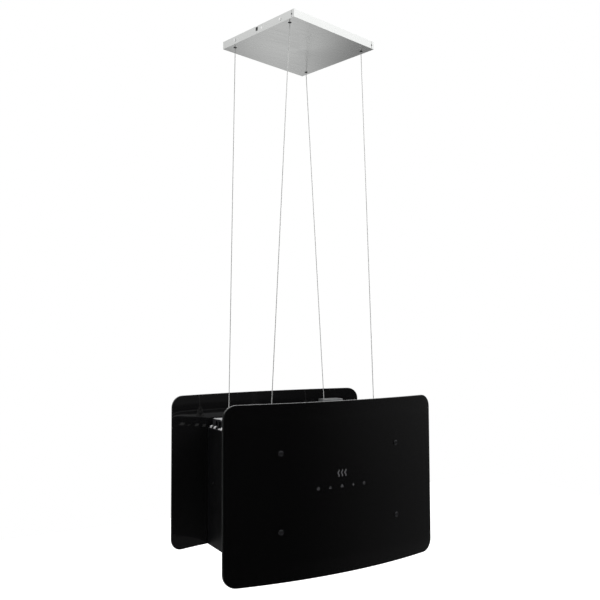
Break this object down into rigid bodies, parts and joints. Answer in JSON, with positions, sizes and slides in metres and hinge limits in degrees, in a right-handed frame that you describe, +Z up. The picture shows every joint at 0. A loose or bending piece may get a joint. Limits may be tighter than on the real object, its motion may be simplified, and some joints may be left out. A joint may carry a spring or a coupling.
{
  "type": "island range hood",
  "caption": "Recirculating island range hood: fan housing between two bowed black glass panels, hung on wire ropes from a square steel ceiling box.",
  "frame": {"origin": "centre of the ceiling bracket's top face, where the hood is screwed to the ceiling", "axes": "+Z up into the ceiling, +X along the hood's width, -Y towards the control side"},
  "size_m": [0.55, 0.421, 1.295],
  "materials": {
    "black_glass": "polished black tempered glass",
    "brushed_steel": "fine brushed",
    "zinc_steel": "bright zinc plated",
    "black_steel": "satin black powder coat",
    "galvanised": "galvanised sheet",
    "nickel": "nickel plated",
    "dark_nickel": "black nickel plated",
    "cap_metal": "black anodised",
    "rope_steel": "bright stranded wire",
    "black_plastic": "fine texture",
    "grey_plastic": "moulded",
    "aluminium": "satin",
    "lens": "frosted",
    "board": "solder mask"
  },
  "bodies": {
    "hood": {"ceiling_bracket": "zinc_steel", "ceiling_cover": "brushed_steel", "cover_screw_front_left": "nickel", "cover_screw_front_right": "nickel", "cover_screw_rear_left": "nickel", "cover_screw_rear_right": "nickel", "rope_anchor_front_left": "dark_nickel", "rope_anchor_front_right": "dark_nickel", "rope_anchor_rear_left": "dark_nickel", "rope_anchor_rear_right": "dark_nickel", "rope_front_left": "rope_steel", "rope_front_right": "rope_steel", "rope_rear_left": "rope_steel", "rope_rear_right": "rope_steel", "rope_gripper_front_left": "nickel", "rope_gripper_front_right": "nickel", "rope_gripper_rear_left": "nickel", "rope_gripper_rear_right": "nickel", "front_glass": "black_glass", "rear_glass": "black_glass", "front_mount_plate": "black_steel", "rear_mount_plate": "black_steel", "glass_cap_front_lower_left": "cap_metal", "glass_cap_front_lower_right": "cap_metal", "glass_cap_front_upper_left": "cap_metal", "glass_cap_front_upper_right": "cap_metal", "glass_cap_rear_lower_left": "cap_metal", "glass_cap_rear_lower_right": "cap_metal", "glass_cap_rear_upper_left": "cap_metal", "glass_cap_rear_upper_right": "cap_metal", "left_side_wall": "black_steel", "right_side_wall": "black_steel", "side_screw_left": "nickel", "side_screw_right": "nickel", "lamp_housing_left": "aluminium", "lamp_housing_right": "aluminium", "lamp_lens_left": "lens", "lamp_lens_right": "lens", "deck_screw_front_left": "zinc_steel", "deck_screw_front_right": "zinc_steel", "deck_screw_rear_left": "zinc_steel", "deck_screw_rear_right": "zinc_steel", "top_deck": "galvanised", "outlet_grille": "black_steel", "bottom_frame": "brushed_steel", "fan_scroll": "grey_plastic", "fan_motor": "galvanised", "touch_board": "board", "terminal_box": "zinc_steel", "supply_gland": "grey_plastic"},
    "fan": {"fan_wheel": "grey_plastic", "fan_shaft": "nickel"},
    "charcoal_left": {"charcoal_filter_left": "black_plastic"},
    "charcoal_right": {"charcoal_filter_right": "black_plastic"},
    "grease_filter": {"grease_filter": "aluminium"},
    "filter_latch": {"filter_latch": "black_plastic"},
    "plunger_front_left": {"grip_plunger_front_left": "nickel"},
    "plunger_front_right": {"grip_plunger_front_right": "nickel"},
    "plunger_rear_left": {"grip_plunger_rear_left": "nickel"},
    "plunger_rear_right": {"grip_plunger_rear_right": "nickel"}
  },
  "joints": [
    {"name": "fan_spin", "type": "hinge", "parent": "hood", "child": "fan", "pos_m": [0, 0, -1.137], "axis": [1, 0, 0], "continuous": true},
    {"name": "charcoal_twist_left", "type": "hinge", "parent": "hood", "child": "charcoal_left", "pos_m": [-0.09, 0, -1.137], "axis": [-1, 0, 0], "range_deg": [0, 20]},
    {"name": "charcoal_twist_right", "type": "hinge", "parent": "hood", "child": "charcoal_right", "pos_m": [0.09, 0, -1.137], "axis": [1, 0, 0], "range_deg": [0, 20]},
    {"name": "grease_filter_hinge", "type": "hinge", "parent": "hood", "child": "grease_filter", "pos_m": [0, 0.145, -1.289], "axis": [1, 0, 0], "range_deg": [0, 85]},
    {"name": "latch_slide", "type": "slide", "parent": "grease_filter", "child": "filter_latch", "axis": [0, 1, 0], "range_m": [0, 0.006], "stiffness_N_per_m": 300, "springref_m": -0.003},
    {"name": "plunger_press_front_left", "type": "slide", "parent": "hood", "child": "plunger_front_left", "axis": [0, 0, -1], "range_m": [0, 0.003], "stiffness_N_per_m": 400, "springref_m": -0.002},
    {"name": "plunger_press_front_right", "type": "slide", "parent": "hood", "child": "plunger_front_right", "axis": [0, 0, -1], "range_m": [0, 0.003], "stiffness_N_per_m": 400, "springref_m": -0.002},
    {"name": "plunger_press_rear_left", "type": "slide", "parent": "hood", "child": "plunger_rear_left", "axis": [0, 0, -1], "range_m": [0, 0.003], "stiffness_N_per_m": 400, "springref_m": -0.002},
    {"name": "plunger_press_rear_right", "type": "slide", "parent": "hood", "child": "plunger_rear_right", "axis": [0, 0, -1], "range_m": [0, 0.003], "stiffness_N_per_m": 400, "springref_m": -0.002}
  ]
}
